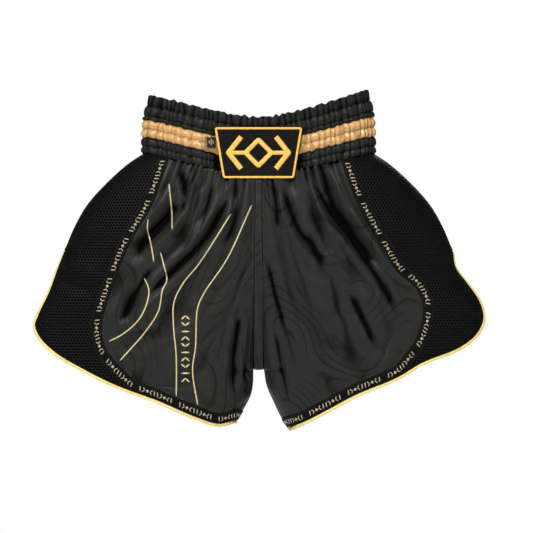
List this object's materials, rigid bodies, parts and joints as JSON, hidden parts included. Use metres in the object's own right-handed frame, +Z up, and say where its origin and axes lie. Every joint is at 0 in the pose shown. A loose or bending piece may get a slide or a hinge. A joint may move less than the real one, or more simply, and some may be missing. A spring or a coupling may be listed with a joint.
{
  "type": "boxing shorts",
  "caption": "Muay Thai boxing shorts with a gathered elastic waistband, satin legs, air-mesh side panels, taped hems and open side vents.",
  "frame": {"origin": "middle of the waist opening, level with the waistband's upper corners at the sides", "axes": "+Z up towards the waist, the front faces -Y, +X points to the wearer's left"},
  "size_m": [0.6129, 0.1072, 0.4529],
  "materials": {
    "waistband_satin": "black satin, tightly gathered",
    "stripe_satin": "gold satin, tightly gathered",
    "facing_cloth": "matt black polyester",
    "elastic_webbing": "woven elastic",
    "label_weave": "woven satin label",
    "eyelet_brass": "stamped brass",
    "patch_cloth": "black twill",
    "patch_thread": "gold embroidery, raised",
    "tab_weave": "black woven label",
    "panel_satin": "charcoal satin with a tone-on-tone print",
    "air_mesh": "black air mesh with round holes",
    "woven_tape": "black tape with a beige woven motif",
    "gold_binding": "gold satin binding"
  },
  "bodies": {
    "waist": {"waistband_top": "waistband_satin", "waistband_stripe": "stripe_satin", "waistband_bottom": "waistband_satin", "waistband_facing": "facing_cloth", "elastic_1": "elastic_webbing", "elastic_2": "elastic_webbing", "elastic_3": "elastic_webbing", "elastic_4": "elastic_webbing", "care_label": "label_weave", "eyelet_right": "eyelet_brass", "eyelet_left": "eyelet_brass", "patch_base": "patch_cloth", "patch_border": "patch_thread", "patch_emblem": "patch_thread", "centre_strip": "panel_satin"},
    "tab": {"size_tab": "tab_weave"},
    "right_leg": {"right_front_panel": "panel_satin", "right_back_panel": "panel_satin", "right_front_mesh": "air_mesh", "right_back_mesh": "air_mesh", "right_front_tape": "woven_tape", "right_back_tape": "woven_tape", "right_front_binding": "gold_binding", "right_back_binding": "gold_binding", "right_vent_bartack": "gold_binding"},
    "left_leg": {"left_front_panel": "panel_satin", "left_back_panel": "panel_satin", "left_front_mesh": "air_mesh", "left_back_mesh": "air_mesh", "left_front_tape": "woven_tape", "left_back_tape": "woven_tape", "left_front_binding": "gold_binding", "left_back_binding": "gold_binding", "left_vent_bartack": "gold_binding"}
  },
  "joints": [
    {"name": "right_leg_swing", "type": "hinge", "parent": "waist", "child": "right_leg", "pos_m": [-0.15, -0.046, -0.116], "axis": [-1, 0, 0], "range_deg": [0, 30], "stiffness_Nm_per_rad": 0.12, "springref_deg": -28.65},
    {"name": "left_leg_swing", "type": "hinge", "parent": "waist", "child": "left_leg", "pos_m": [0.15, -0.046, -0.116], "axis": [-1, 0, 0], "range_deg": [0, 30], "stiffness_Nm_per_rad": 0.12, "springref_deg": -28.65},
    {"name": "size_tab_flip", "type": "hinge", "parent": "waist", "child": "tab", "pos_m": [-0.0584, -0.0466, -0.065], "axis": [0, 0, 1], "range_deg": [0, 90], "stiffness_Nm_per_rad": 0.0002, "springref_deg": -11.46}
  ]
}
